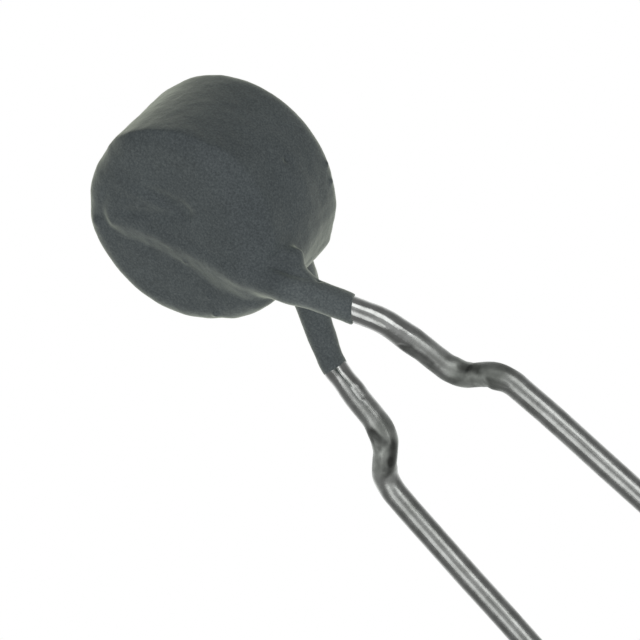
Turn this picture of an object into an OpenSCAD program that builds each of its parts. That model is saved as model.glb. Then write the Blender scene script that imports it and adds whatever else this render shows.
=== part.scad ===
// Leaded ceramic disc resistor: a pressed disc with a printed electrode on each
// face, a round wire soldered across each electrode, and one dipped coating.
// Millimetres. The board surface is z = 0 and the bare leads point down.
// The front face looks towards -Y, and its lead ends on the +X side.

/* [Ceramic disc] */
// Diameter of the pressed ceramic disc
ceramic_d = 4.2; // [3.7:0.05:5.2]
// Thickness of the pressed ceramic disc
ceramic_t = 2; // [1.4:0.05:3]
// Rounding of the disc's two pressed edges
ceramic_edge_r = 0.12; // [0.05:0.01:0.3]

/* [Electrodes and solder] */
// Thickness of the fired silver electrode
electrode_t = 0.03; // [0.02:0.005:0.08]
// Bare ceramic ring left round the electrode
electrode_margin = 0.2; // [0.1:0.01:0.35]
// Thickness of solder under the wire
solder_film = 0.03; // [0.02:0.005:0.05]
// Height of the solder beside the wire
solder_rise = 0.42; // [0.3:0.01:0.44]
// Length of wire tip that stands out of the solder
solder_start = 0.45; // [0.2:0.05:0.9]
// Distance from the solder's lower end to the bend at the disc's rim
solder_stop = 1.6; // [1.4:0.05:2.2]
// Gap left between bonded pieces
bond_gap = 0.01; // [0.005:0.001:0.02]

/* [Leads] */
// Diameter of the round lead wire
lead_d = 0.55; // [0.45:0.01:0.6]
// Distance between the two leads at the board
lead_pitch = 5; // [4.6:0.02:6]
// Length of straight lead below the board surface
lead_length = 20; // [4:0.5:35]
// Angle at which each straight lead leans outward
lead_splay = 4.7; // [0:0.1:8]
// Angle of the wire's tip from the top of the disc
tip_angle = 36; // [25:1:50]
// Distance of the wire's tip from the edge of the ceramic
tip_inset = 0.65; // [0.4:0.05:0.9]
// Sideways place of the bend at the disc's rim
exit_x = 1.06; // [0.8:0.02:1.3]
// Distance of that bend below the coated body
exit_drop = 0.08; // [0:0.02:0.4]
// Bend radius there, along the wire's middle
exit_bend_r = 1; // [0.6:0.05:2]
// Sideways place of the shoulder above the kink
shoulder_x = 1.74; // [1.4:0.02:1.9]
// Distance of the shoulder from the mid-plane
shoulder_y = 0.78; // [0.4:0.02:1]
// Height of the shoulder below the bend at the rim
shoulder_drop = 1.9; // [1.4:0.05:2.3]
// Bend radius at the shoulder, along the wire's middle
shoulder_bend_r = 1; // [0.5:0.05:1.5]
// Sideways place of the kink's upper corner
kink_x = 1.46; // [1.2:0.02:1.7]
// Height of the kink's upper corner above the board
kink_top_z = 1.06; // [0.98:0.02:1.4]
// Height of the kink's lower corner above the board
kink_low_z = 0.4; // [0.2:0.02:0.46]
// Bend radius of both kink corners, along the wire's middle
kink_bend_r = 0.8; // [0.4:0.02:0.9]

/* [Coating] */
// Height of the coated body's underside above the board
body_clearance = 5.06; // [4.66:0.1:9]
// Coating thickness round the disc's rim
coat_side = 0.36; // [0.2:0.02:0.5]
// Coating thickness over each ceramic face
coat_face = 0.5; // [0.4:0.02:0.7]
// Rounding of the coated body's edges
coat_edge_r = 0.5; // [0.2:0.05:0.7]
// Coating thickness over the wire's tip
ridge_cover = 0.13; // [0.1:0.01:0.3]
// Extra thickness that the ridge gains towards the rim
ridge_swell = 0.11; // [0:0.01:0.15]
// Length over which the ridge narrows to the sleeve
ridge_taper = 0.9; // [0.5:0.05:1.2]
// Height of the soft swell beside each ridge, above the flat face
dome_h = 0.17; // [0.05:0.01:0.2]
// Radius of that swell on the face
dome_r = 1.5; // [1:0.05:1.8]
// Distance of its middle from the disc's axis, towards the ridge's upper side
dome_shift = 0.45; // [0:0.05:0.5]
// Coating thickness on the sleeve round each lead
sleeve_cover = 0.08; // [0.05:0.01:0.14]
// Length of the front sleeve below the bend at the rim
front_sleeve = 1.42; // [0.6:0.02:1.6]
// Length of the back sleeve below the shoulder
back_sleeve = 0.05; // [0.02:0.01:0.3]

/* [Hidden] */
$fn = 64;
ceramic_r = ceramic_d / 2;
lead_r = lead_d / 2;
electrode_r = ceramic_r - electrode_margin;
face_y = ceramic_t / 2 + electrode_t;
wire_y = face_y + solder_film + lead_r;
coat_r = ceramic_r + coat_side;
coat_t = ceramic_t + 2 * coat_face;
disc_z = body_clearance + coat_r;
ridge_r = lead_r + ridge_cover;
swell_r = ridge_r + ridge_swell;
sleeve_r = lead_r + sleeve_cover;
tip_r = ceramic_r - tip_inset;
exit_z = body_clearance - exit_drop;
// How far the soft swell is let into the flat face
dome_seat = 0.02;
// A bend is a hair thicker than the straight wire, which runs a little way into it
bend_step = 0.003;
bend_lap = 0.03;

// Corners of the front lead's middle line, from its tip to its free end
tip = [-tip_r * sin(tip_angle), -wire_y, disc_z + tip_r * cos(tip_angle)];
exit = [exit_x, -wire_y, exit_z];
shoulder = [shoulder_x, -shoulder_y, exit_z - shoulder_drop];
kink_top = [kink_x, 0, kink_top_z];
kink_low = [lead_pitch / 2 - kink_low_z * tan(lead_splay), 0, kink_low_z];
free_end = [lead_pitch / 2 + lead_length * tan(lead_splay), 0, -lead_length];
route = [tip, exit, shoulder, kink_top, kink_low, free_end];
bend_r = [0, exit_bend_r, shoulder_bend_r, kink_bend_r, kink_bend_r, 0];
EXIT = 1;
SHOULDER = 2;

function unit(v) = v / norm(v);
function heading(i) = unit(route[i + 1] - route[i]);
function turn(i) = acos(heading(i - 1) * heading(i));
function setback(i) = bend_r[i] == 0 ? 0 : bend_r[i] * tan(turn(i) / 2);
function leg_start(i) = route[i] + setback(i) * heading(i);
function leg_end(i) = route[i + 1] - setback(i + 1) * heading(i);
function upright(z_axis) = unit(cross([0, 1, 0], z_axis));
function columns(x, y, z, o) = [
    [x[0], y[0], z[0], o[0]],
    [x[1], y[1], z[1], o[1]],
    [x[2], y[2], z[2], o[2]]
];

// Stands its children on a point, with +Z turned to the given direction
module aim(from, along) {
    across = upright(along);
    multmatrix(columns(across, cross(along, across), along, from))
        children();
}

// A straight round bar between two points
module bar(from, to, r) {
    aim(from, unit(to - from))
        cylinder(r = r, h = norm(to - from));
}

// The round bend at a corner of the route
module elbow(i, r) {
    inward = unit(heading(i) - heading(i - 1));
    centre = route[i] + inward * bend_r[i] / cos(turn(i) / 2);
    outward = unit(route[i] - setback(i) * heading(i - 1) - centre);
    multmatrix(columns(outward, heading(i - 1), cross(outward, heading(i - 1)), centre))
        rotate_extrude(angle = turn(i))
            translate([bend_r[i], 0])
                circle(r + bend_step);
}

// The straight stretch after corner i, run into the bends at its ends
module leg(i, r) {
    lap_1 = bend_r[i] == 0 ? 0 : bend_lap;
    lap_2 = bend_r[i + 1] == 0 ? 0 : bend_lap;
    bar(leg_start(i) - lap_1 * heading(i), leg_end(i) + lap_2 * heading(i), r);
}

// The whole lead wire, from its tip on the disc to its free end
module wire(r) {
    for (i = [0:len(route) - 2])
        leg(i, r);
    for (i = [1:len(route) - 2])
        elbow(i, r);
}

// The back of the part is its front, turned half round
module turned() {
    rotate([0, 0, 180])
        children();
}

// A round pill lying on the disc's axis, with both edges rounded
module pill(r, t, edge_r) {
    translate([0, 0, disc_z])
        rotate([90, 0, 0])
            rotate_extrude()
                union() {
                    translate([0, -t / 2])
                        square([r - edge_r, t]);
                    translate([0, edge_r - t / 2])
                        square([r, t - 2 * edge_r]);
                    for (side = [-1, 1])
                        translate([r - edge_r, side * (t / 2 - edge_r)])
                            circle(edge_r);
                }
}

module ceramic(grow) {
    pill(ceramic_r + grow, ceramic_t + 2 * grow, ceramic_edge_r + grow);
}

module electrode(grow) {
    translate([0, -ceramic_t / 2, disc_z])
        rotate([90, 0, 0])
            cylinder(r = electrode_r + grow, h = electrode_t + grow);
}

// A half-round mound along the wire, standing on the electrode
module solder_mound(grow) {
    r = solder_rise + grow;
    on_face = [0, wire_y - face_y, 0];
    from = tip + solder_start * heading(0) + on_face;
    to = exit - solder_stop * heading(0) + on_face;
    intersection() {
        aim(from, heading(0)) {
            sphere(r);
            cylinder(r = r, h = norm(to - from));
            translate([0, 0, norm(to - from)])
                sphere(r);
        }
        translate([-coat_r, -face_y - 2 * r, disc_z - coat_r])
            cube([2 * coat_r, 2 * r, 2 * coat_r]);
    }
}

module solder() {
    difference() {
        solder_mound(0);
        bar(tip, exit, lead_r + bond_gap);
    }
}

// What the coating lies on, on the front half of the part
module front_core() {
    electrode(bond_gap);
    solder_mound(bond_gap);
    wire(lead_r + bond_gap);
}

// Coating over the wire where it crosses the face
module ridge() {
    swell_length = norm(leg_end(0) - tip) - ridge_taper;
    aim(tip, heading(0)) {
        sphere(ridge_r);
        cylinder(r1 = ridge_r, r2 = swell_r, h = swell_length);
        translate([0, 0, swell_length])
            cylinder(r1 = swell_r, r2 = lead_r, h = ridge_taper);
    }
}

// The low swell that fills in beside the wire, on the ridge's upper side
module dome() {
    uphill = cross(heading(0), [0, 1, 0]);
    ball_r = (dome_r * dome_r + dome_h * dome_h) / (2 * dome_h);
    middle = [0, ball_r - dome_h - coat_t / 2, disc_z] + dome_shift * uphill;
    intersection() {
        translate(middle)
            sphere(ball_r);
        translate([-coat_r, dome_seat - coat_t / 2 - coat_edge_r, disc_z - coat_r])
            cube([2 * coat_r, coat_edge_r, 2 * coat_r]);
    }
}

// Thin coating round the lead, from inside the ridge to past the bend at the rim
module tube_top() {
    bar(leg_end(0) - ridge_taper * heading(0), leg_end(0) + bend_lap * heading(0), sleeve_r);
    elbow(EXIT, sleeve_r);
}

module front_tube() {
    tube_top();
    bar(leg_start(EXIT) - bend_lap * heading(EXIT), exit + front_sleeve * heading(EXIT), sleeve_r);
}

module back_tube() {
    along = heading(SHOULDER);
    tube_top();
    leg(EXIT, sleeve_r);
    elbow(SHOULDER, sleeve_r);
    bar(leg_start(SHOULDER) - bend_lap * along, leg_start(SHOULDER) + back_sleeve * along, sleeve_r);
}

module ceramic_disc() {
    color("#5a5550")
        ceramic(0);
}

module front_electrode() {
    color("#d5d6d2")
        electrode(0);
}

module back_electrode() {
    color("#d5d6d2")
        turned()
            electrode(0);
}

module front_solder() {
    color("#a9adb0")
        solder();
}

module back_solder() {
    color("#a9adb0")
        turned()
            solder();
}

module front_lead() {
    color("#b4b5b3")
        wire(lead_r);
}

module back_lead() {
    color("#b4b5b3")
        turned()
            wire(lead_r);
}

module coating() {
    color("#4c5456")
        difference() {
            union() {
                pill(coat_r, coat_t, coat_edge_r);
                ridge();
                dome();
                front_tube();
                turned() {
                    ridge();
                    dome();
                    back_tube();
                }
            }
            ceramic(bond_gap);
            front_core();
            turned()
                front_core();
        }
}

ceramic_disc();
front_electrode();
back_electrode();
front_solder();
back_solder();
front_lead();
back_lead();
coating();
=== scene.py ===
import math

import bmesh
import bpy
from mathutils import Matrix, Vector, noise


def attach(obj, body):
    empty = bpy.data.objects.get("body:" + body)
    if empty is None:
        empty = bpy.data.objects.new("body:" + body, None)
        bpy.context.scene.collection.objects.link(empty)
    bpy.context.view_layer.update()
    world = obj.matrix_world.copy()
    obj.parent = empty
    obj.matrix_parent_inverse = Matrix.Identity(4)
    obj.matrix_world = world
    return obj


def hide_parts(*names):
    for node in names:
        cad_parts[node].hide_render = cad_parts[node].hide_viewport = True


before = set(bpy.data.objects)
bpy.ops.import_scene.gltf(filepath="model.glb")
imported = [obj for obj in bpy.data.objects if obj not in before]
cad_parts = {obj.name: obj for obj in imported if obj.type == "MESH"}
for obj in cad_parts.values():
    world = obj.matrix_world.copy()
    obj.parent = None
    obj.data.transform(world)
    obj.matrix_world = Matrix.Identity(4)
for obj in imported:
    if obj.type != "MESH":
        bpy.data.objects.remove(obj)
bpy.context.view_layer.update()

# A leaded disc thermistor: a ceramic disc dipped in matt lacquer, on two tinned wires.
# Lengths are in millimetres until a piece is finished, when its mesh is made metres.
MM = 0.001

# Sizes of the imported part, which the pieces below follow
COAT_R = 2.45
COAT_T = 3.0
COAT_EDGE_R = 0.5
DISC_Z = 7.52
WIRE_R = 0.275
WIRE_Y = 1.335
SLEEVE_R = 0.355

# The lead's corners, from its tip on the disc to its free end, and the bend at each
TIP_R = 1.45
TIP_ANGLE = math.radians(36)
PITCH = 5.0
LEAD_LENGTH = 20.0
SPLAY = math.radians(4.7)
KINK_LOW_Z = 0.4
TIP = Vector((-TIP_R * math.sin(TIP_ANGLE), -WIRE_Y, DISC_Z + TIP_R * math.cos(TIP_ANGLE)))
EXIT = Vector((1.06, -WIRE_Y, 4.98))
SHOULDER = Vector((1.74, -0.78, 3.08))
KINK_TOP = Vector((1.46, 0, 1.06))
KINK_LOW = Vector((PITCH / 2 - KINK_LOW_Z * math.tan(SPLAY), 0, KINK_LOW_Z))
FREE_END = Vector((PITCH / 2 + LEAD_LENGTH * math.tan(SPLAY), 0, -LEAD_LENGTH))
CORNERS = [TIP, EXIT, SHOULDER, KINK_TOP, KINK_LOW, FREE_END]
BENDS = [0, 1.0, 1.0, 0.8, 0.8, 0]

# The back of the part is its front, turned half round
HALF_TURN = Matrix.Rotation(math.pi, 4, "Z")

# The photograph's camera: where it stands, and its axes
CAMERA_RIGHT = Vector((0.5054, 0.4960, -0.7061))
CAMERA_UP = Vector((0.4995, 0.4991, 0.7081))
CAMERA_BACK = Vector((0.7037, -0.7105, 0.0045))
CAMERA_PLACE = Vector((70.23, -71.21, 4.42))
CAMERA_LENS = 258.2
SENSOR = 36.0


# Materials

def linear(code):
    """The linear colour of an sRGB hex code."""
    parts = [int(code[i:i + 2], 16) / 255 for i in (1, 3, 5)]
    return [c / 12.92 if c <= 0.04045 else ((c + 0.055) / 1.055) ** 2.4 for c in parts] + [1]


def scale(size):
    """The scale of a pattern whose grains are this many millimetres across."""
    return 1 / (size * MM)


def join(tree, node, links):
    """Feeds a node's sockets, each from a socket or from another node's first output."""
    for key, source in links.items():
        if isinstance(source, bpy.types.Node):
            source = source.outputs[0]
        tree.links.new(source, node.inputs[key])


def add(tree, kind, settings=None, values=None, links=None, stops=()):
    """Adds a node, with its settings, its sockets' values and what feeds it. Stops are a
    ramp's places and their sRGB shades."""
    made = tree.nodes.new(kind)
    for key, value in (settings or {}).items():
        setattr(made, key, value)
    for key, value in (values or {}).items():
        made.inputs[key].default_value = value
    join(tree, made, links or {})
    if stops:
        elements = made.color_ramp.elements
        while len(elements) < len(stops):
            elements.new(0.5)
        for element, (place, code) in zip(elements, stops):
            element.position = place
            element.color = linear(code)
    return made


def new_material(name, values):
    """A node material, its tree, its shader with these values, and where the object's own
    place is read."""
    made = bpy.data.materials.new(name)
    made.use_nodes = True
    tree = made.node_tree
    shader = tree.nodes["Principled BSDF"]
    for key, value in values.items():
        shader.inputs[key].default_value = value
    return made, tree, shader, add(tree, "ShaderNodeTexCoord").outputs["Object"]


def dipped_lacquer():
    """Filled silicone lacquer, dipped and baked: a matt, dusty grey skin with a shallow orange
    peel, a little paler where it is thin on the wires. The filler's grains, about a hundredth
    of a millimetre, are too fine to show and are drawn some four times coarser."""
    made, tree, shader, place = new_material("dipped_silicone_lacquer", {
        "Roughness": 0.58, "IOR": 1.5, "Sheen Weight": 0.72, "Sheen Roughness": 0.4,
        "Sheen Tint": linear("#f4fde4")})
    clouds = add(tree, "ShaderNodeTexNoise", values={"Scale": scale(0.9), "Detail": 3.0},
                 links={"Vector": place})
    filler = add(tree, "ShaderNodeTexNoise", values={
        "Scale": scale(0.045), "Detail": 2.0, "Roughness": 0.7},
        links={"Vector": place})
    peel = add(tree, "ShaderNodeTexNoise", values={"Scale": scale(0.16), "Detail": 2.0},
               links={"Vector": place})
    cloudy = add(tree, "ShaderNodeMath", {"operation": "MULTIPLY"}, {1: 0.18}, {0: clouds})
    tone = add(tree, "ShaderNodeMath", {"operation": "MULTIPLY_ADD"}, {1: 0.82},
               {0: filler, 2: cloudy})
    thick = add(tree, "ShaderNodeValToRGB", links={"Fac": tone}, stops=[
        (0.33, "#383f43"), (0.5, "#485053"), (0.67, "#596163")])
    pale = add(tree, "ShaderNodeValToRGB", links={"Fac": tone}, stops=[
        (0.33, "#464d50"), (0.5, "#565e60"), (0.67, "#676f70")])
    thin = add(tree, "ShaderNodeAttribute", {"attribute_name": "thin"}).outputs["Fac"]
    colour = add(tree, "ShaderNodeMix", {"data_type": "RGBA"},
                 links={"Factor": thin, 6: thick, 7: pale}).outputs[2]
    waved = add(tree, "ShaderNodeBump", values={"Distance": 0.012 * MM, "Strength": 0.6},
                links={"Height": peel})
    rough = add(tree, "ShaderNodeBump", values={"Distance": 0.006 * MM, "Strength": 0.5},
                links={"Height": filler, "Normal": waved})
    join(tree, shader, {"Base Color": colour, "Normal": rough})
    return made


def tinned_wire():
    """Copper wire drawn round and hot tinned: satin bright metal with drawing streaks along
    the wire and small pits and flow marks in the tin, duller and darker where pliers worked it.
    The streaks are a few micrometres wide, and are drawn about ten times coarser to show.
    On the struck marks, dark reflections and highlights are painted into its colour."""
    made, tree, shader, place = new_material("tinned_copper_drawn", {"Metallic": 1})
    straight = add(tree, "ShaderNodeAttribute", {"attribute_name": "straight"}).outputs["Vector"]
    stretched = add(tree, "ShaderNodeMapping", values={"Scale": (1, 1, 0.03)},
                    links={"Vector": straight})
    streaks = add(tree, "ShaderNodeTexNoise", values={
        "Scale": scale(0.05), "Detail": 3.0, "Roughness": 0.6},
        links={"Vector": stretched})
    flow = add(tree, "ShaderNodeTexNoise", values={"Scale": scale(0.35), "Detail": 3.0},
               links={"Vector": place})
    pits = add(tree, "ShaderNodeTexNoise", values={
        "Scale": scale(0.07), "Detail": 2.0, "Roughness": 0.7},
        links={"Vector": place})
    bright = add(tree, "ShaderNodeValToRGB", links={"Fac": flow}, stops=[
        (0.3, "#babcb9"), (0.55, "#cfd1cf"), (0.8, "#dbdddb")])
    scraped = add(tree, "ShaderNodeValToRGB", links={"Fac": flow}, stops=[
        (0.3, "#8a8e89"), (0.55, "#a5a9a4"), (0.8, "#bbbfb9")])
    worked = add(tree, "ShaderNodeAttribute", {"attribute_name": "worked"}).outputs["Fac"]
    either = add(tree, "ShaderNodeMix", {"data_type": "RGBA"},
                 links={"Factor": worked, 6: bright, 7: scraped}).outputs[2]
    # Painted reflections on the struck marks: above zero they darken the tin's colour, below zero
    # they brighten it as a painted highlight
    marks = add(tree, "ShaderNodeAttribute", {"attribute_name": "painted_reflection"}).outputs["Fac"]
    kept = add(tree, "ShaderNodeMath", {"operation": "MULTIPLY_ADD"}, {1: -0.65, 2: 1.0},
               {0: marks})
    shown = add(tree, "ShaderNodeVectorMath", {"operation": "SCALE"},
                links={0: either, "Scale": kept})
    pitted = add(tree, "ShaderNodeMapRange", values={
        "From Min": 0.3, "From Max": 0.7, "To Min": 0.11, "To Max": 0.21},
        links={"Value": pits})
    dull = add(tree, "ShaderNodeMath", {"operation": "MULTIPLY_ADD"}, {1: 0.34},
               {0: worked, 2: pitted})
    drawn = add(tree, "ShaderNodeBump", values={"Distance": 0.006 * MM, "Strength": 0.5},
                links={"Height": streaks})
    rough = add(tree, "ShaderNodeBump", values={"Distance": 0.006 * MM, "Strength": 0.35},
                links={"Height": pits, "Normal": drawn})
    join(tree, shader, {"Base Color": shown, "Roughness": dull, "Normal": rough})
    return made


def sintered_ceramic():
    """Barium titanate, pressed and sintered: a dark, dense grey-brown with a matt grain, drawn
    coarser than its real few micrometres."""
    made, tree, shader, place = new_material(
        "barium_titanate_sintered", {"Roughness": 0.65, "IOR": 2.4})
    grain = add(tree, "ShaderNodeTexNoise", values={
        "Scale": scale(0.06), "Detail": 3.0, "Roughness": 0.6},
        links={"Vector": place})
    colour = add(tree, "ShaderNodeValToRGB", links={"Fac": grain},
                 stops=[(0.3, "#4c4844"), (0.7, "#66605a")])
    rough = add(tree, "ShaderNodeBump", values={"Distance": 0.008 * MM, "Strength": 0.5},
                links={"Height": grain})
    join(tree, shader, {"Base Color": colour, "Normal": rough})
    return made


def fired_silver():
    """Silver paste, screen printed and fired: pale, matt and porous, with the pores drawn
    coarser than they are."""
    made, tree, shader, place = new_material(
        "silver_paste_fired", {"Metallic": 1, "Roughness": 0.55})
    pores = add(tree, "ShaderNodeTexNoise", values={
        "Scale": scale(0.05), "Detail": 3.0, "Roughness": 0.6},
        links={"Vector": place})
    colour = add(tree, "ShaderNodeValToRGB", links={"Fac": pores},
                 stops=[(0.3, "#bdbab2"), (0.7, "#dddbd4")])
    rough = add(tree, "ShaderNodeBump", values={"Distance": 0.006 * MM, "Strength": 0.5},
                links={"Height": pores})
    join(tree, shader, {"Base Color": colour, "Normal": rough})
    return made


def reflowed_solder():
    """Tin solder, reflowed: smooth satin grey with the faint grain of its freezing."""
    made, tree, shader, place = new_material(
        "tin_solder_reflowed", {"Metallic": 1, "Roughness": 0.34})
    frozen = add(tree, "ShaderNodeTexNoise", values={"Scale": scale(0.12), "Detail": 2.0},
                 links={"Vector": place})
    colour = add(tree, "ShaderNodeValToRGB", links={"Fac": frozen},
                 stops=[(0.3, "#9fa2a3"), (0.7, "#bcbfbf")])
    rough = add(tree, "ShaderNodeBump", values={"Distance": 0.006 * MM, "Strength": 0.4},
                links={"Height": frozen})
    join(tree, shader, {"Base Color": colour, "Normal": rough})
    return made


# The leads' middle line

def wire_route(corners, bends):
    """The middle line as legs and bends: (length, start, heading, bend's centre, bend's axis)."""
    headings = [(b - a).normalized() for a, b in zip(corners, corners[1:])]
    parts, at = [], corners[0]
    for i, heading in enumerate(headings):
        last = i == len(headings) - 1
        turn = 0 if last else heading.angle(headings[i + 1])
        setback = 0 if last else bends[i + 1] * math.tan(turn / 2)
        end = corners[i + 1] - setback * heading
        parts.append(((end - at).length, at, heading, None, None))
        if not last:
            inward = (headings[i + 1] - heading).normalized()
            centre = corners[i + 1] + inward * bends[i + 1] / math.cos(turn / 2)
            axis = heading.cross(headings[i + 1]).normalized()
            parts.append((bends[i + 1] * turn, end, heading, centre, axis))
            at = corners[i + 1] + setback * headings[i + 1]
    return parts


ROUTE = wire_route(CORNERS, BENDS)
WIRE_LENGTH = sum(part[0] for part in ROUTE)
# How far along the route each of its legs and bends ends
LEG_ENDS = [sum(part[0] for part in ROUTE[:i + 1]) for i in range(len(ROUTE))]


def on_route(along):
    """How a straight wire's ring is turned at this length of the route, and where its middle
    is. The ring's own X looks to the front of the part."""
    for length, start, heading, centre, axis in ROUTE:
        if along <= length or start is ROUTE[-1][1]:
            break
        along -= length
    if centre is None:
        point, tangent = start + along * heading, heading
    else:
        swing = Matrix.Rotation(along / (start - centre).length, 3, axis)
        point, tangent = centre + swing @ (start - centre), swing @ heading
    front = Vector((0, -1, 0))
    front = (front - front.dot(tangent) * tangent).normalized()
    side = tangent.cross(front)
    return Matrix((front, side, tangent)).transposed().to_4x4(), point


def ease(x):
    """A smooth step from 0 to 1."""
    x = min(1.0, max(0.0, x))
    return x * x * (3 - 2 * x)


def between(x, points):
    """Smoothly joined values: points are (place, value) in rising order."""
    if x <= points[0][0]:
        return points[0][1]
    for (x0, y0), (x1, y1) in zip(points, points[1:]):
        if x <= x1:
            return y0 + (y1 - y0) * ease((x - x0) / (x1 - x0))
    return points[-1][1]


# What hand forming did to each lead, by its length: how far it strays sideways, how much
# wider the pliers left it that way, and their flats (start, end, round from the front, depth)
SIDEWAYS = Vector((0.7106, 0.7036, 0))
FRONT_STRAY = [(4.0, 0.0), (5.0, 0.035), (6.0, 0.03), (6.7, 0.055), (7.4, 0.052), (7.9, 0.03),
               (8.25, 0.0), (8.6, -0.03), (9.1, -0.005), (9.4, -0.03), (9.9, 0.0), (10.8, 0.015),
               (13.0, 0.0)]
FRONT_WIDE = [(5.9, 1.0), (6.6, 1.04), (7.1, 1.10), (7.5, 1.045), (7.9, 1.045), (8.35, 1.085),
              (8.65, 1.03), (8.88, 0.9), (9.1, 1.0), (9.4, 1.1), (9.7, 1.02), (10.0, 1.0)]
FRONT_FLATS = [(7.0, 7.7, -40, 0.02), (8.7, 9.2, 10, 0.015)]
BACK_STRAY = [(4.4, 0.0), (5.6, 0.02), (6.3, 0.015), (7.2, -0.01), (7.9, -0.05), (8.4, -0.048),
              (8.9, 0.022), (9.2, 0.0), (9.7, -0.033), (10.4, -0.02), (12.0, -0.02),
              (13.7, -0.035), (24.0, -0.02)]
BACK_WIDE = [(5.9, 1.0), (6.4, 1.04), (6.7, 1.0), (7.1, 1.05), (7.8, 1.04), (8.2, 1.13),
             (8.45, 1.11), (8.7, 1.0), (8.9, 0.98), (9.15, 1.08), (9.7, 1.03), (10.2, 1.02)]
BACK_FLATS = [(8.2, 8.5, 150, 0.035), (8.5, 9.1, 185, 0.02), (7.0, 7.5, 200, 0.015)]
# The length over which a flat runs in to its full depth
FLAT_RUN = 0.12

# How dull the tools left each wire, by its length: 0 is bright tin, 1 is scraped and matt
FRONT_WORKED = [(6.85, 0.0), (7.15, 0.5), (7.5, 0.5), (8.0, 0.6), (8.4, 1.0), (9.5, 1.0),
                (9.8, 0.5), (10.4, 0.3), (14.0, 0.3)]
BACK_WORKED = [(6.7, 0.0), (7.1, 0.35), (7.9, 0.5), (8.15, 0.9), (9.0, 0.9), (9.25, 0.5),
               (10.0, 0.4), (12.0, 0.3)]

# Marks on each wire, dents that the pliers struck and reflections painted on it:
# (length, degrees round from the front) at the start and at the end, half width, depth, and
# how dark the painted reflection is; below zero it is a painted highlight instead
FRONT_STRUCK = [
    ((6.95, -50), (7.1, -36), 0.07, 0.03, 0.5), ((7.2, -22), (7.75, -30), 0.06, 0.012, 0.4),
    ((6.95, 20), (7.9, 46), 0.04, -0.004, -0.5), ((8.46, 24), (8.8, 6), 0.08, 0.02, 0.7),
    ((8.8, 6), (9.02, -14), 0.09, 0.02, 0.8), ((9.12, -8), (9.45, 10), 0.025, -0.012, -0.7),
    ((9.3, -46), (9.7, -30), 0.07, 0.015, 0.5), ((9.05, 40), (9.65, 54), 0.07, 0.01, 0.4),
    ((8.45, 76), (9.1, 66), 0.12, 0.0, -0.8), ((8.6, -72), (9.2, -64), 0.13, 0.0, -1.0)]
BACK_STRUCK = [
    ((8.12, 138), (8.42, 172), 0.07, 0.02, 0.9), ((8.2, 138), (8.5, 138), 0.08, 0.01, 0.7),
    ((8.66, 122), (8.44, 196), 0.022, -0.015, -0.8), ((8.44, 196), (8.0, 203), 0.022, -0.008, -0.5),
    ((8.0, 208), (8.5, 204), 0.06, 0.0, 0.5), ((8.5, 202), (8.78, 180), 0.09, 0.015, 0.8),
    ((8.78, 182), (9.15, 172), 0.07, 0.015, 0.6), ((9.2, 190), (9.5, 182), 0.12, 0.0, -0.8),
    ((8.4, 250), (9.4, 246), 0.12, 0.0, -0.8), ((8.5, 110), (9.5, 112), 0.12, 0.0, -1.0),
    ((7.3, 244), (8.1, 244), 0.10, 0.0, -0.5), ((7.4, 150), (8.0, 165), 0.12, 0.0, -0.3)]
# How softly a mark's edge fades, and how far from its ends it is still looked for
SOFT_EDGE = 0.06
MARK_REACH = 0.5


def struck(offset, tangent, along, strokes):
    """How deep a place on the wire's skin was struck, and how dark a reflection is painted
    there; below zero it is a painted highlight.
    """
    side = (SIDEWAYS - SIDEWAYS.dot(tangent) * tangent).normalized()
    round_it = WIRE_R * math.atan2(offset.dot(side), offset.dot(tangent.cross(side)))
    deepest = darkest = 0.0
    for (start, turn_0), (end, turn_1), half_width, depth, dark in strokes:
        if min(start, end) - MARK_REACH < along < max(start, end) + MARK_REACH:
            here = Vector((along, round_it))
            first = Vector((start, WIRE_R * math.radians(turn_0)))
            run = Vector((end - start, WIRE_R * math.radians(turn_1 - turn_0)))
            circle = 2 * math.pi * WIRE_R
            here.y += circle * round((first.y - here.y) / circle)
            part = min(1.0, max(0.0, (here - first).dot(run) / run.length_squared))
            away = (here - first - part * run).length
            share = ease((half_width + SOFT_EDGE - away) / SOFT_EDGE / 2)
            deepest += depth * share
            darkest += dark * share
    return deepest, min(1.0, darkest)


def formed(offset, tangent, along, stray, wide, flats):
    """A place on the wire's skin, about its middle, after the forming at this length."""
    for start, end, angle, depth in flats:
        if start < along < end:
            level = Matrix.Rotation(math.radians(angle), 3, "Z") @ Vector((*CAMERA_BACK.xy, 0))
            level = (level - level.dot(tangent) * tangent).normalized()
            shallow = ease((along - start) / FLAT_RUN) * ease((end - along) / FLAT_RUN)
            over = offset.dot(level) - (WIRE_R - depth * shallow)
            if over > 0:
                offset = offset - over * level
    side = (SIDEWAYS - SIDEWAYS.dot(tangent) * tangent).normalized()
    across = tangent.cross(side)
    more = between(along, wide)
    wider = side * offset.dot(side) * (more - 1)
    thinner = across * offset.dot(across) * (1 / more - 1)
    offset = offset + wider + thinner
    return offset + SIDEWAYS * between(along, stray)


def follow_route(bar, stray, wide=((0, 1),), flats=(), strokes=()):
    """Bends a straight bar, which stands on Z with the wire's lengths as heights."""
    known = {}
    dark = bar.verts.layers.float.get("painted_reflection")
    for v in bar.verts:
        along = v.co.z
        key = round(along, 5)
        if key not in known:
            known[key] = on_route(along)
        turn, point = known[key]
        offset = turn @ Vector((v.co.x, v.co.y, 0))
        # The strokes dent the skin and give each place its painted reflection, dark or bright
        if strokes:
            depth, v[dark] = struck(offset, turn.col[2].to_3d(), along, strokes)
            offset *= 1 - depth / WIRE_R
        v.co = point + formed(offset, turn.col[2].to_3d(), along, stray, wide, flats)


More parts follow.
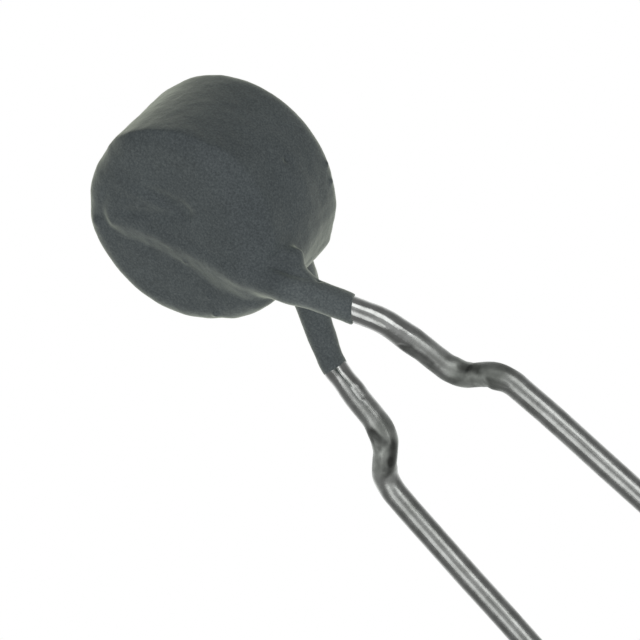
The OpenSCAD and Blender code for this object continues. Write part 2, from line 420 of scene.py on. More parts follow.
def straight_bar(radius, stations, sides):
    """A closed straight bar along Z with a ring of vertices at each station."""
    depth = stations[-1] - stations[0]
    bar = bmesh.new()
    bmesh.ops.create_cone(bar, cap_ends=True, cap_tris=False, segments=sides,
                          radius1=radius, radius2=radius, depth=depth)
    uprights = [e for e in bar.edges if abs(e.verts[0].co.z - e.verts[1].co.z) > depth / 2]
    rings = len(stations) - 1
    if rings > 1:
        bmesh.ops.subdivide_edges(bar, edges=uprights, cuts=rings - 1, use_grid_fill=True)
    for v in bar.verts:
        v.co.z = stations[round((v.co.z / depth + 0.5) * rings)]
    return bar


def pour(part, bm):
    """Moves a finished part into a larger mesh."""
    carrier = bpy.data.meshes.new("carrier")
    part.to_mesh(carrier)
    part.free()
    bm.from_mesh(carrier)
    bpy.data.meshes.remove(carrier)


def steps(start, end, step):
    """Evenly spaced stations from start to end, about this far apart."""
    count = max(1, round((end - start) / step))
    return [start + (end - start) * i / count for i in range(count + 1)]


def finished(bm, name, material, node, sharp=40):
    """Writes the finished shape to an object in metres, in the part's own frame."""
    bmesh.ops.transform(bm, matrix=Matrix.Scale(MM, 4), verts=bm.verts)
    mesh = bpy.data.meshes.new(name)
    bm.to_mesh(mesh)
    bm.free()
    mesh.polygons.foreach_set("use_smooth", [True] * len(mesh.polygons))
    mesh.set_sharp_from_angle(angle=math.radians(sharp))
    mesh.materials.append(material)
    piece = bpy.data.objects.new(name, mesh)
    bpy.context.scene.collection.objects.link(piece)
    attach(piece, "root")
    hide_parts(node)


# The leads

# Sides of the round wire, how far apart its rings are where it was formed and beyond, and
# where the close ones end
WIRE_SIDES = 48
FINE_STEP = 0.035
COARSE_STEP = 0.3
FINE_END = LEG_ENDS[7] + 5.0


def lead(name, node, material, turned, worked, *forming):
    """One wire on its route, formed and marked by the pliers; the back one is turned round."""
    stations = steps(0, FINE_END, FINE_STEP) + steps(FINE_END, WIRE_LENGTH, COARSE_STEP)[1:]
    bm = straight_bar(WIRE_R, stations, WIRE_SIDES)
    straight = bm.verts.layers.float_vector.new("straight")
    dull = bm.verts.layers.float.new("worked")
    # Painted reflections and highlights on the struck marks
    bm.verts.layers.float.new("painted_reflection")
    for v in bm.verts:
        v[straight] = v.co * MM
        v[dull] = between(v.co.z, worked)
    follow_route(bm, *forming)
    if turned:
        bmesh.ops.transform(bm, matrix=HALF_TURN, verts=bm.verts)
    finished(bm, name, material, node)


# The coating

# Grid on which the skins are made one, and how finely the round shapes in it are divided
VOXEL = 0.045
DISC_SIDES, RIM_STEPS = 96, 12
SKIN_SIDES = 48
TUBE_SIDES = 40
BALL_SIDES, BALL_RINGS = 32, 20
# Where each sleeve's own tube starts on the route, and how far apart its rings are
TUBE_START = LEG_ENDS[0] - 1.2
TUBE_STEP = 0.06
# Where each sleeve ends on the route
FRONT_SLEEVE_END = LEG_ENDS[1] + 1.42
BACK_SLEEVE_END = LEG_ENDS[3] + 0.05
# The neck, where the skin spreads from the wire to the disc's underside: where on the route
# it starts and ends, its radius at each, how far its start lies towards the disc's middle
# plane, and how far round a neck counts as near it
NECK_START, NECK_END = 3.4, 4.8
NECK_START_R, NECK_END_R = 0.66, SLEEVE_R - 0.03
NECK_SHIFT = Vector((0, 0.24, 0))
NECK_REACH = 0.8
# Where the lacquer fills the corner between the front neck and the disc's side
NECK_WEB = Vector((1.30, -0.88, 5.31))
NECK_WEB_R = 0.27
# Radius of the skin over the wire on a face, and then of each sleeve, by the length along it
FACE_SKIN = [(0.1, 0.295), (2.0, 0.34), (3.1, 0.48), (LEG_ENDS[0] + 0.1, SLEEVE_R)]
FRONT_SLEEVE = [(3.2, 0.36), (4.2, 0.39), (4.6, 0.35), (5.2, 0.335)]
BACK_SLEEVE = [(3.2, 0.36), (4.2, 0.4), (4.6, 0.36), (5.3, 0.338), (6.2, 0.3), (6.5, 0.297)]
# How each sleeve's rough end was left longer, across the photograph's view of it
FRONT_TRIM = [(-1.0, -0.15), (-0.66, -0.19), (-0.3, -0.16), (0.1, -0.12), (0.55, -0.03),
              (1.0, 0.04)]
BACK_TRIM = [(-1.0, -0.05), (0.0, -0.03), (1.0, -0.10)]
# How much of a sleeve is stretched to its rough end, and how deep the chips in it are
TRIM_REACH = 0.6
CHIPS = 0.05


def stand(matrix, point):
    """A matrix that puts a shape's own origin on a point."""
    return Matrix.Translation(point) @ matrix


# Each rim of the dipped disc, by the angle from +X towards the top: how much it is larger,
# the radius of its rounding, and the crease in degrees where the rounding meets the side
FRONT_LARGER = [(-180, -0.04), (-160, -0.05), (-145, -0.065), (-120, -0.075), (-108, 0.0),
                (-98, 0.05), (-85, 0.12), (-70, 0.12), (-50, 0.02), (0, -0.01), (40, 0.0),
                (60, -0.02), (75, -0.045), (90, -0.11), (100, -0.11), (108, -0.07), (118, -0.05),
                (130, -0.045), (140, 0.0), (150, 0.0), (165, -0.03), (180, -0.04)]
FRONT_ROUND = [(-180, 0.5), (-95, 0.5), (-75, 0.8), (-50, 1.25), (-20, 1.3), (5, 1.2), (25, 0.9),
               (50, 0.75), (75, 0.75), (95, 0.65), (125, 0.55), (145, 0.5), (180, 0.5)]
FRONT_CREASE = [(-180, 0), (-100, 0), (-75, 15), (-50, 34), (-20, 36), (5, 42), (25, 52), (50, 58),
                (70, 56), (84, 36), (98, 16), (114, 5), (130, 0), (180, 0)]
BACK_LARGER = [(-180, 0.0), (-110, 0.02), (-90, 0.07), (-80, 0.10), (-75, 0.05), (-68, 0.02),
               (-58, 0.02), (-50, 0.0), (-40, -0.02), (0, -0.015), (60, -0.02), (75, -0.045),
               (95, -0.02), (120, 0.0), (180, 0.0)]
BACK_ROUND = [(0, COAT_EDGE_R)]
BACK_CREASE = [(0, 0)]


def rim(x, z, back):
    """The rim beside a place on a face: its reach, its rounding and the crease's angle."""
    angle = math.degrees(math.atan2(z - DISC_Z, x))
    larger, rounding, crease = ((BACK_LARGER, BACK_ROUND, BACK_CREASE) if back else
                                (FRONT_LARGER, FRONT_ROUND, FRONT_CREASE))
    return (COAT_R + between(angle, larger), between(angle, rounding),
            math.radians(between(angle, crease)))


def pill(bm):
    """The dipped disc: a round pill on the disc's axis, with its two uneven rims."""
    body = bmesh.new()
    bmesh.ops.create_cone(
        body, cap_ends=True, cap_tris=False, segments=DISC_SIDES, radius1=COAT_R,
        radius2=COAT_R, depth=COAT_T,
        matrix=stand(Matrix.Rotation(math.pi / 2, 4, "X"), (0, 0, DISC_Z)))
    rims = [e for e in body.edges if abs(e.verts[0].co.y - e.verts[1].co.y) < COAT_T / 2]
    bmesh.ops.bevel(body, geom=rims, offset=COAT_EDGE_R, offset_type="OFFSET", affect="EDGES",
                    segments=RIM_STEPS, profile=0.5, material=-1)
    for v in body.verts:
        x, z = v.co.x, v.co.z - DISC_Z
        reach, out = math.hypot(x, z), abs(v.co.y)
        part = math.atan2(out - (COAT_T / 2 - COAT_EDGE_R), reach - (COAT_R - COAT_EDGE_R))
        edge, rounding, crease = rim(x, v.co.z, v.co.y > 0)
        swing = crease + part * (1 - crease / (math.pi / 2))
        new_reach = edge - rounding * (math.cos(crease) - math.cos(swing))
        new_out = COAT_T / 2 - rounding * (1 - math.sin(swing))
        v.co = Vector((x * new_reach / reach, math.copysign(new_out, v.co.y),
                       DISC_Z + z * new_reach / reach))
    pour(body, bm)


# Places on a face are told from a mark by the wire's tip: how far down beside the wire,
# and how far uphill of it
FACE_MARK = Vector((-1.047, 0, 8.86))
ALONG = Vector((0.46659, 0, -0.88447))
UPHILL = ALONG.cross(Vector((0, 1, 0)))

# Foot of the step below the wire, on the face: (along, uphill, width of the step)
STEP_FOOT = [(0.15, 1.5, 0.8), (-0.05, 1.0, 0.6), (-0.12, 0.62, 0.4), (-0.15, 0.36, 0.24),
             (-0.17, 0.1, 0.2), (-0.10, -0.17, 0.22), (0.04, -0.34, 0.26), (0.25, -0.41, 0.32),
             (0.52, -0.43, 0.38), (0.84, -0.40, 0.40), (1.22, -0.38, 0.41), (1.60, -0.41, 0.44),
             (2.07, -0.46, 0.50), (2.46, -0.58, 0.58), (2.87, -0.71, 0.64), (3.30, -0.69, 0.66),
             (3.66, -0.65, 0.66), (3.95, -0.60, 0.64), (4.50, -0.54, 0.60)]
# Height of the swell over the wire, by the length along it, and how far uphill it runs out
SWELL_TOP = [(-0.3, 0.11), (0.4, 0.13), (1.4, 0.135), (2.3, 0.16), (3.0, 0.225), (3.8, 0.28)]
SWELL_REACH = 2.3
# Along the step: how wavy its slope is, how softly it is rounded, and how deep the hollow
# below it is
STEP_WAVES = [(0.2, 0.12), (1.6, 0.22), (2.4, 0.06)]
STEP_SOFT = [(0.2, 0.3), (1.0, 0.1), (1.8, 0.15), (2.6, 0.25)]
STEP_HOLLOW = [(0.1, 0.0), (0.6, 0.018), (2.1, 0.02), (3.0, 0.015), (3.6, 0.0)]
# How far the step's foot strays uphill and back
FOOT_STRAY = 0.02
# How far below the foot the hollow is deepest, and how wide it is
HOLLOW_BELOW, HOLLOW_WIDTH = 0.10, 0.11
# The pleat uphill of the wire: where it starts and ends along it, the height of its fold, the
# depth of the groove above it and of the faint one below it, and its pit's place and depth
PLEAT_START, PLEAT_END = 0.1, 2.2
FOLD_HEIGHT = 0.03
GROOVE_DEPTH = 0.13
FAINT_DEPTH = 0.05
PIT_ALONG, PIT_UPHILL = 1.80, 0.94
PIT_DEPTH = 0.12


def hump(away, width):
    """A smooth hump: 1 at its middle, and about a third at this width from it."""
    return math.exp(-(away / width) ** 2)


def step_place(along, uphill):
    """How far uphill of the step's foot a place is, or downhill of it below zero, and how wide
    the step is there."""
    best, found = 1e9, (0.0, 1.0)
    here = Vector((along, uphill))
    for (a0, u0, w0), (a1, u1, w1) in zip(STEP_FOOT, STEP_FOOT[1:]):
        start, run = Vector((a0, u0)), Vector((a1 - a0, u1 - u0))
        part = min(1.0, max(0.0, (here - start).dot(run) / run.length_squared))
        off = here - start - part * run
        if off.length < best:
            best = off.length
            inside = run.x * off.y - run.y * off.x
            found = math.copysign(best, inside), w0 + (w1 - w0) * part
    return found


def step_height(along, uphill):
    """How high the step stands at a place, and the faint hollow below its foot."""
    beyond, width = step_place(along, uphill)
    waves = noise.noise(Vector((along * 4.5, uphill * 3, 5)))
    share = max(0.0, beyond) / width * (1 + between(along, STEP_WAVES) * waves)
    share = min(1.0, share)
    soft = between(along, STEP_SOFT)
    rise = soft * ease(share) + (1 - soft) * share * (1.5 - 0.5 * share)
    hollow = hump(beyond + HOLLOW_BELOW, HOLLOW_WIDTH) * between(along, STEP_HOLLOW)
    return between(along, SWELL_TOP) * rise - hollow


def pleat(along, uphill):
    """The small fold in the lacquer uphill of the wire, with a groove above it that deepens to
    a pit, and a fainter groove below it."""
    fades_in, ends = ease((along - PLEAT_START) / 0.5), ease((PLEAT_END - along) / 0.5)
    crest = 0.84 + 0.04 * along
    fold = FOLD_HEIGHT * hump(uphill - crest, 0.09) * fades_in * ends
    deeper = ease((along - 0.5) / 1.2) * ends
    above = 1.09 - 0.08 * (along - 0.8)
    groove = GROOVE_DEPTH * hump(uphill - above, 0.09 + 0.06 * deeper) * deeper
    below = 0.13 + 0.39 * along
    faint = FAINT_DEPTH * hump(uphill - below, 0.13) * fades_in * ends
    pit = PIT_DEPTH * hump(along - PIT_ALONG, 0.16) * hump(uphill - PIT_UPHILL, 0.11)
    return fold - groove - faint - pit


def face_level(x, z, back):
    """How far the pill's own face stands out at this place."""
    edge, rounding, crease = rim(x, z, back)
    over = max(0.0, math.hypot(x, z - DISC_Z) - edge + rounding * math.cos(crease))
    return COAT_T / 2 - rounding + math.sqrt(max(0.0, rounding ** 2 - over ** 2))


def face_height(place, back):
    """How far the lacquer stands out over a place on a face; the back is seen turned round."""
    from_mark = place - FACE_MARK
    along, uphill = from_mark.dot(ALONG), from_mark.dot(UPHILL)
    uphill += FOOT_STRAY * noise.noise(Vector((along * 5, uphill * 2, 0)))
    fall = 1 - ease((uphill + 0.1) / SWELL_REACH)
    swell = step_height(along, uphill) * fall
    level = face_level(-place.x, place.z, True) if back else face_level(place.x, place.z, False)
    return level + swell + (0 if back else pleat(along, uphill))


def along_wire(bm, start, end, radius_1, radius_2):
    """A round taper on the wire's straight top, between two lengths of the route."""
    turn, point = on_route((start + end) / 2)
    bmesh.ops.create_cone(bm, cap_ends=True, cap_tris=False, segments=SKIN_SIDES,
                          radius1=radius_1, radius2=radius_2, depth=end - start,
                          matrix=stand(turn, point))


def ball(bm, place, radius):
    """A ball of lacquer, which rounds off an end or fills a corner."""
    bmesh.ops.create_uvsphere(bm, u_segments=BALL_SIDES, v_segments=BALL_RINGS,
                              radius=radius, matrix=Matrix.Translation(place))


def rough_end(tube, end, turned, trim):
    """Trims a sleeve's end unevenly round the wire: how far it is longer, from the side that
    the photograph shows uppermost, -1, to the lowest, 1."""
    turn = on_route(end)[0].to_3x3()
    camera, up = (HALF_TURN @ CAMERA_BACK, HALF_TURN @ CAMERA_UP) if turned else (
        CAMERA_BACK, CAMERA_UP)
    across = camera.cross(turn.col[2]).normalized()
    across *= -math.copysign(1, across.dot(up))
    for v in tube.verts:
        near_end = ease((v.co.z - end + TRIM_REACH) / TRIM_REACH)
        if near_end > 0:
            offset = turn @ Vector((v.co.x, v.co.y, 0)).normalized()
            chips = noise.noise(offset * 2.6 + Vector((0, 0, 7 if turned else 0))) * CHIPS
            v.co.z += near_end * (between(offset.dot(across), trim) + chips)


def wire_skin(bm, end, stray, radii, turned, trim):
    """The skin round the wire, from its tip on the face to its rough end."""
    tip, tip_radius = FACE_SKIN[0]
    ball(bm, on_route(tip)[1], tip_radius)
    for (start, radius_1), (stop, radius_2) in zip(FACE_SKIN, FACE_SKIN[1:]):
        along_wire(bm, start, stop, radius_1, radius_2)
    wide, narrow = on_route(NECK_START)[1] + NECK_SHIFT, on_route(NECK_END)[1]
    lean = (narrow - wide).to_track_quat("Z", "Y").to_matrix().to_4x4()
    bmesh.ops.create_cone(bm, cap_ends=True, cap_tris=False, segments=SKIN_SIDES,
                          radius1=NECK_START_R, radius2=NECK_END_R,
                          depth=(narrow - wide).length,
                          matrix=stand(lean, (wide + narrow) / 2))
    tube = straight_bar(1, steps(TUBE_START, end, TUBE_STEP), TUBE_SIDES)
    for v in tube.verts:
        thick = between(v.co.z, radii)
        v.co.x *= thick
        v.co.y *= thick
    rough_end(tube, end, turned, trim)
    follow_route(tube, stray)
    pour(tube, bm)


def one_skin(bm, voxel):
    """Makes overlapping closed shapes one closed skin of even small faces."""
    rough = bpy.data.meshes.new("rough")
    bm.to_mesh(rough)
    bm.free()
    block = bpy.data.objects.new("rough", rough)
    bpy.context.scene.collection.objects.link(block)
    merge = block.modifiers.new("one_skin", "REMESH")
    merge.mode = "VOXEL"
    merge.voxel_size = voxel
    skin = bpy.data.meshes.new_from_object(
        block.evaluated_get(bpy.context.evaluated_depsgraph_get()))
    bpy.data.objects.remove(block)
    bpy.data.meshes.remove(rough)
    bm = bmesh.new()
    bm.from_mesh(skin)
    bpy.data.meshes.remove(skin)
    return bm


def soften(verts, bm, rounds):
    """Smooths these places of the skin, as wet lacquer levels itself."""
    for _ in range(rounds):
        bmesh.ops.smooth_vert(bm, verts=verts, factor=0.5, use_axis_x=True,
                              use_axis_y=True, use_axis_z=True)


def near_necks(bm):
    """What lies near the two places where a wire leaves the disc."""
    necks = (EXIT, HALF_TURN @ EXIT)
    return [v for v in bm.verts if min((v.co - neck).length for neck in necks) < NECK_REACH]


# Where a face is shaped: this far out from the disc's middle plane and no wider than this.
# What faces out less than FACING_NONE is left, and from FACING_FULL on it is shaped in full.
FACE_OUT = 0.7
FACE_WIDE = COAT_R + 0.1
FACING_NONE, FACING_FULL = 0.05, 0.35
# How softly the swell runs out into what stands higher
SWELL_JOIN = 0.03


def shape_faces(bm):
    """Raises both faces to the lacquer's swell over the wires."""
    bm.normal_update()
    for v in bm.verts:
        back = v.co.y > 0
        place = HALF_TURN @ v.co if back else v.co.copy()
        facing = v.normal.y if back else -v.normal.y
        wide = math.hypot(place.x, place.z - DISC_Z)
        if facing <= FACING_NONE or place.y > -FACE_OUT or wide > FACE_WIDE:
            continue
        lift = face_height(place, back) + place.y
        lift = (lift + math.sqrt(lift * lift + SWELL_JOIN ** 2)) / 2
        lift *= ease(facing / FACING_FULL)
        v.co.y += lift if back else -lift


# How far the front of the disc's side falls in, by the angle from +X towards the top
SIDE_FALL = [(-70, 0.0), (-55, 0.12), (-42, 0.2), (-25, 0.2), (10, 0.0)]
# Where on Y the fall starts and is full, between which reaches from the disc's axis it acts,
# and the run over which it grows outwards
FALL_START, FALL_END = 0.3, -1.1
FALL_INSIDE, FALL_OUTSIDE = 1.6, COAT_R + 0.15
FALL_RUN = 0.7


def shape_side(bm):
    """Draws the front of the disc's side in a little, above the front sleeve."""
    for v in bm.verts:
        reach = math.hypot(v.co.x, v.co.z - DISC_Z)
        share = ease((v.co.y - FALL_START) / (FALL_END - FALL_START))
        if share > 0 and FALL_INSIDE < reach < FALL_OUTSIDE:
            fall = between(math.degrees(math.atan2(v.co.z - DISC_Z, v.co.x)), SIDE_FALL)
            fall *= share * ease((reach - FALL_INSIDE) / FALL_RUN)
            v.co.x *= 1 - fall / reach
            v.co.z -= (v.co.z - DISC_Z) * fall / reach


# Small marks in the lacquer: place, width and height; a pit has a height below zero
MARKS = [((-0.42, -1.556, 6.922), 0.05, 0.035), ((0.214, -1.775, 6.588), 0.05, 0.035),
         ((0.514, -1.815, 6.249), 0.06, 0.035), ((-0.7, -1.514, 6.023), 0.05, 0.03),
         ((2.366, 0.062, 6.921), 0.07, -0.07), ((1.531, -1.009, 4.599), 0.06, -0.05),
         ((1.457, -1.43, 4.342), 0.06, -0.05), ((2.09, 1.20, 6.24), 0.08, 0.06),
         ((1.84, 1.14, 5.91), 0.08, 0.05), ((-1.006, -1.5, 5.627), 0.10, 0.06),
         ((-1.541, -1.5, 8.956), 0.12, 0.05), ((0.7, 1.2, 5.3), 0.08, 0.04),
         ((-1.9, 1.0, 6.1), 0.07, -0.05), ((-0.3, 1.3, 9.9), 0.08, 0.04)]
# The crease where the front sleeve leaves the disc: places on it, and its depth at each
NECK_CREASE = [((1.365, -1.661, 5.702), 0.0), ((1.352, -1.54, 5.519), 0.05),
               ((1.344, -1.388, 5.331), 0.08), ((1.435, -1.324, 5.097), 0.08),
               ((1.501, -1.211, 4.86), 0.04)]
CREASE_WIDTH = 0.08


def neck_crease(place):
    """How deep the neck's crease is at a place, as it lies for someone looking from in front."""
    best, depth = 1e9, 0.0
    for (start, deep_0), (end, deep_1) in zip(NECK_CREASE, NECK_CREASE[1:]):
        run, off = Vector(end) - Vector(start), place - Vector(start)
        if off.length > NECK_REACH:
            continue
        run -= run.dot(CAMERA_BACK) * CAMERA_BACK
        off -= off.dot(CAMERA_BACK) * CAMERA_BACK
        part = min(1.0, max(0.0, off.dot(run) / run.length_squared))
        away = (off - part * run).length
        if away < best:
            best, depth = away, deep_0 + (deep_1 - deep_0) * part
    return depth * hump(best, CREASE_WIDTH)


def press_marks(bm):
    """Gives the skin its crease at the neck and its small nubs and pits."""
    bm.normal_update()
    for v in bm.verts:
        height = -neck_crease(v.co) if v.normal.dot(CAMERA_BACK) > 0 else 0.0
        for place, width, mark in MARKS:
            away = (v.co - Vector(place)).length
            if away < 3 * width:
                height += mark * hump(away, width)
        v.co += v.normal * height


# The skin's own rise and fall, from slow to fine: waves to the millimetre and their height
UNEVEN = [(0.8, 0.008), (2.7, 0.010), (7.5, 0.004)]
# The flow lines round the disc: waves to the millimetre of its thickness and to the radian
# round it, and their height
FLOW_ACROSS, FLOW_ROUND, FLOW_HEIGHT = 3.5, 0.7, 0.005


def uneven(bm):
    """Lets the skin rise and fall a little, as dipped lacquer does."""
    bm.normal_update()
    for v in bm.verts:
        rise = sum(noise.noise(v.co * waves) * height for waves, height in UNEVEN)
        round_axis = math.atan2(v.co.z - DISC_Z, v.co.x)
        flow = Vector((v.co.y * FLOW_ACROSS, round_axis * FLOW_ROUND, 7))
        v.co += v.normal * (rise + noise.noise(flow) * FLOW_HEIGHT)


# How far past the disc the skin starts to be thin on the wires, and the run to its thinnest
THIN_FROM, THIN_RUN = 0.05, 0.6
# Rounds of smoothing: of the whole skin, of the necks each time, and of the shaped skin
SKIN_ROUNDS, NECK_ROUNDS, LAST_ROUNDS = 6, 8, 2


def coating(material):
    """The dipped skin over all of it: the disc and both wires, made one and then shaped."""
    bm = bmesh.new()
    wire_skin(bm, BACK_SLEEVE_END, BACK_STRAY, BACK_SLEEVE, True, BACK_TRIM)
    bmesh.ops.transform(bm, matrix=HALF_TURN, verts=bm.verts)
    wire_skin(bm, FRONT_SLEEVE_END, FRONT_STRAY, FRONT_SLEEVE, False, FRONT_TRIM)
    ball(bm, NECK_WEB, NECK_WEB_R)
    pill(bm)
    bm = one_skin(bm, VOXEL)
    soften(bm.verts, bm, SKIN_ROUNDS)
    soften(near_necks(bm), bm, NECK_ROUNDS)
    shape_faces(bm)
    shape_side(bm)
    soften(near_necks(bm), bm, NECK_ROUNDS)
    soften(bm.verts, bm, LAST_ROUNDS)
    press_marks(bm)
    uneven(bm)
    thin = bm.verts.layers.float.new("thin")
    for v in bm.verts:
        past_disc = math.hypot(v.co.x, v.co.z - DISC_Z) - COAT_R
        v[thin] = ease((past_disc - THIN_FROM) / THIN_RUN)
    finished(bm, "coating_skin", material, "coating", sharp=60)


coating(dipped_lacquer())
tin = tinned_wire()
lead("front_wire", "front_lead", tin, False, FRONT_WORKED,
     FRONT_STRAY, FRONT_WIDE, FRONT_FLATS, FRONT_STRUCK)
lead("back_wire", "back_lead", tin, True, BACK_WORKED,
     BACK_STRAY, BACK_WIDE, BACK_FLATS, BACK_STRUCK)

# The pieces inside the coating keep the frame's own meshes
silver, solder = fired_silver(), reflowed_solder()
INNER = {
    "ceramic_disc": sintered_ceramic(),
    "front_electrode": silver, "back_electrode": silver,
    "front_solder": solder, "back_solder": solder,
}
for node, material in INNER.items():
    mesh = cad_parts[node].data
    mesh.materials.clear()
    mesh.materials.append(material)


# Floor, light and camera

# The floor, in metres: its width, its height just below the leads' ends, and how far out it
# starts and ends fading into the white background
FLOOR_WIDTH = 6
FLOOR_Z = -(LEAD_LENGTH + 0.1) * MM
FLOOR_FADES = (0.04, 0.12)


def background_rays(tree):
    """1 for the rays that see the plain white background: straight, mirrored or through glass."""
    rays = add(tree, "ShaderNodeLightPath")
    bounced = add(tree, "ShaderNodeMath", {"operation": "MAXIMUM"}, links={
        0: rays.outputs["Is Glossy Ray"], 1: rays.outputs["Is Transmission Ray"]})
    return add(tree, "ShaderNodeMath", {"operation": "MAXIMUM"}, links={
        0: rays.outputs["Is Camera Ray"], 1: bounced})


def floor_paper():
    """Pale matt paper, which runs out into the white background away from the object. Its
    fibres are drawn as soft clouds, because single ones are too fine to show."""
    made, tree, shader, place = new_material(
        "pale_paper", {"Roughness": 0.9, "Specular IOR Level": 0.2})
    fibres = add(tree, "ShaderNodeTexNoise", values={"Scale": scale(2.0), "Detail": 3.0},
                 links={"Vector": place})
    colour = add(tree, "ShaderNodeValToRGB", links={"Fac": fibres},
                 stops=[(0.3, "#f0f0ef"), (0.7, "#eeeeed")])
    join(tree, shader, {"Base Color": colour})
    away = add(tree, "ShaderNodeVectorMath", {"operation": "LENGTH"}, links={0: place})
    far = add(tree, "ShaderNodeMapRange", {"interpolation_type": "SMOOTHSTEP"},
              {"From Min": FLOOR_FADES[0], "From Max": FLOOR_FADES[1]},
              {"Value": away.outputs["Value"]})
    share = add(tree, "ShaderNodeMath", {"operation": "MULTIPLY"},
                links={0: far, 1: background_rays(tree)})
    white = add(tree, "ShaderNodeEmission", values={"Color": (1, 1, 1, 1), "Strength": 1.0})
    shown = add(tree, "ShaderNodeMixShader", links={
        0: share, 1: shader, 2: white})
    join(tree, tree.nodes["Material Output"], {"Surface": shown})
    return made


def paper_floor():
    """The floor, a flat card. The camera sees it, but the object neither mirrors it nor takes
    light from it."""
    bm = bmesh.new()
    bmesh.ops.create_grid(bm, x_segments=1, y_segments=1, size=FLOOR_WIDTH / 2)
    bmesh.ops.translate(bm, vec=(0, 0, FLOOR_Z), verts=bm.verts)
    mesh = bpy.data.meshes.new("floor")
    bm.to_mesh(mesh)
    bm.free()
    mesh.materials.append(floor_paper())
    card = bpy.data.objects.new("floor", mesh)
    bpy.context.scene.collection.objects.link(card)
    card.visible_glossy = card.visible_diffuse = card.visible_shadow = False
    return card


# The disc's middle, in metres, and the level directions to the photograph's camera and to its
# right, from which the lights are placed
OBJECT_MIDDLE = Vector((0, 0, DISC_Z)) * MM
LEVEL_BACK = Vector((CAMERA_BACK.x, CAMERA_BACK.y, 0)).normalized()
LEVEL_RIGHT = Vector((-LEVEL_BACK.y, LEVEL_BACK.x, 0))
# How far each soft box stands from the object, in metres
LAMP_DISTANCE = 0.4


def from_camera(degrees, lift):
    """A direction this far round to the right of the camera, and this steeply up."""
    angle = math.radians(degrees)
    level = math.cos(angle) * LEVEL_BACK + math.sin(angle) * LEVEL_RIGHT
    return (level + math.tan(math.radians(lift)) * Vector((0, 0, 1))).normalized()


def softbox(name, direction, size, radiance):
    """A rectangular soft light that looks at the object from this direction."""
    light = bpy.data.lights.new(name, "AREA")
    light.shape = "RECTANGLE"
    light.size, light.size_y = size
    light.energy = radiance * math.pi * size[0] * size[1]
    lamp = bpy.data.objects.new(name, light)
    lamp.location = OBJECT_MIDDLE + direction * LAMP_DISTANCE
    lamp.rotation_euler = direction.to_track_quat("Z", "Y").to_euler()
    bpy.context.scene.collection.objects.link(lamp)


def floor_light(floor, direction, energy):
    """A broad lamp above that lights the floor alone, so that the floor is white round the
    object's soft shadow."""
    receivers = bpy.data.collections.new("floor_only")
    receivers.objects.link(floor)
    light = bpy.data.lights.new("floor_light", "SUN")
    light.energy = energy
    light.angle = math.radians(35)
    lamp = bpy.data.objects.new("floor_light", light)
    lamp.rotation_euler = direction.to_track_quat("Z", "Y").to_euler()
    lamp.light_linking.receiver_collection = receivers
    bpy.context.scene.collection.objects.link(lamp)


floor_light(paper_floor(), from_camera(-50, 68), 1.75)
softbox("key_right", from_camera(34, 4), (0.19, 0.7), 1.0)
softbox("fill_left", from_camera(-34, 2), (0.2, 0.7), 0.68)

# What the light tent sends from each height, from straight below to its open top, how much
# more of it comes from the left, from behind and from below, and its level
TENT_LIGHT = [(-90, "#dcdcdc"), (-20, "#d0d0d0"), (5, "#bcbcbc"), (40, "#a6a6a6"), (90, "#7c7c7c")]
TENT_LEAN = -0.36 * LEVEL_RIGHT - 0.48 * CAMERA_BACK - Vector((0, 0, 0.12))
TENT_LEVEL = 1.155
# What bright metal mirrors, by the angle from the camera: the dark lens, the tent's pale front,
# its dim sides and the white backdrop
MIRRORED = [(0, "#707070"), (14, "#b0b0b0"), (45, "#a9a9a9"), (60, "#747474"), (95, "#727272"),
            (118, "#9a9a9a"), (132, "#c8c8c8"), (144, "#ffffff")]


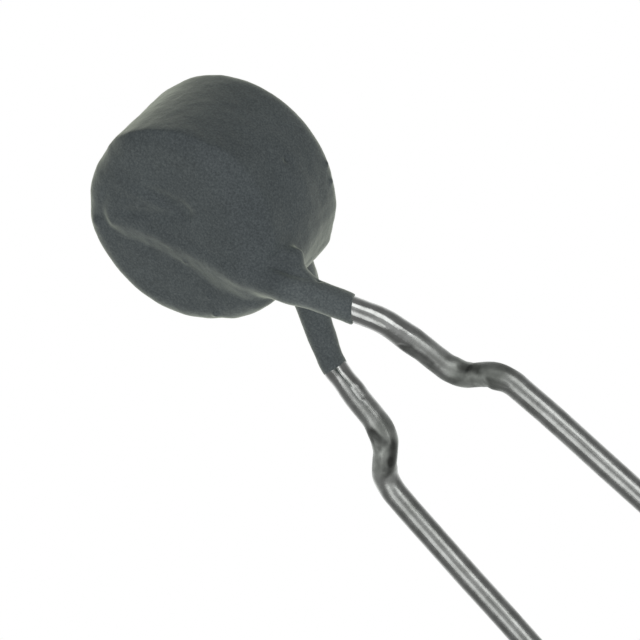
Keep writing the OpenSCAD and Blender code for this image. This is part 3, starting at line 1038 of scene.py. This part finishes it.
def light_tent():
    """A white backdrop to look at, soft light from all round, and a room for metal to mirror."""
    world = bpy.data.worlds.new("light_tent")
    world.use_nodes = True
    world.cycles.sampling_method = "NONE"
    tree = world.node_tree
    tree.nodes.clear()
    heading = add(tree, "ShaderNodeTexCoord").outputs["Generated"]
    lean = add(tree, "ShaderNodeVectorMath", {"operation": "DOT_PRODUCT"},
               {1: TENT_LEAN}, {0: heading})
    strength = add(tree, "ShaderNodeMath", {"operation": "ADD"}, {1: TENT_LEVEL},
                   {0: lean.outputs["Value"]})
    height = add(tree, "ShaderNodeVectorMath", {"operation": "DOT_PRODUCT"},
                 {1: (0, 0, 1)}, {0: heading})
    steep = add(tree, "ShaderNodeMath", {"operation": "ARCSINE"},
                links={0: height.outputs["Value"]})
    level = add(tree, "ShaderNodeMath", {"operation": "MULTIPLY_ADD"},
                {1: 1 / math.pi, 2: 0.5}, {0: steep})
    light = add(tree, "ShaderNodeValToRGB", links={"Fac": level},
                stops=[(angle / 180 + 0.5, code) for angle, code in TENT_LIGHT])
    soft = add(tree, "ShaderNodeBackground", links={
        "Color": light, "Strength": strength})
    facing = add(tree, "ShaderNodeVectorMath", {"operation": "DOT_PRODUCT"},
                 {1: CAMERA_BACK}, {0: heading})
    away = add(tree, "ShaderNodeMath", {"operation": "ARCCOSINE"},
               links={0: facing.outputs["Value"]})
    share = add(tree, "ShaderNodeMath", {"operation": "DIVIDE"}, {1: math.pi},
                {0: away})
    room = add(tree, "ShaderNodeValToRGB", links={"Fac": share},
               stops=[(angle / 180, code) for angle, code in MIRRORED])
    mirrored = add(tree, "ShaderNodeBackground", links={"Color": room})
    white = add(tree, "ShaderNodeBackground", values={"Color": (1, 1, 1, 1), "Strength": 1.0})
    rays = add(tree, "ShaderNodeLightPath")
    straight = add(tree, "ShaderNodeMath", {"operation": "MAXIMUM"}, links={
        0: rays.outputs["Is Camera Ray"], 1: rays.outputs["Is Transmission Ray"]})
    seen = add(tree, "ShaderNodeMixShader", links={
        0: straight, 1: soft, 2: white})
    all_rays = add(tree, "ShaderNodeMixShader", links={
        0: rays.outputs["Is Glossy Ray"], 1: seen, 2: mirrored})
    add(tree, "ShaderNodeOutputWorld", links={"Surface": all_rays})
    return world


bpy.context.scene.world = light_tent()

camera = bpy.data.objects.new("camera", bpy.data.cameras.new("camera"))
camera.data.lens = CAMERA_LENS
camera.data.sensor_width = SENSOR
camera.data.clip_start = 0.01
camera.data.clip_end = 20
axes = Matrix((CAMERA_RIGHT, CAMERA_UP, CAMERA_BACK)).transposed().to_4x4()
camera.matrix_world = Matrix.Translation(CAMERA_PLACE * MM) @ axes
bpy.context.scene.collection.objects.link(camera)
bpy.context.scene.camera = camera
bpy.context.scene.view_settings.view_transform = "Standard"
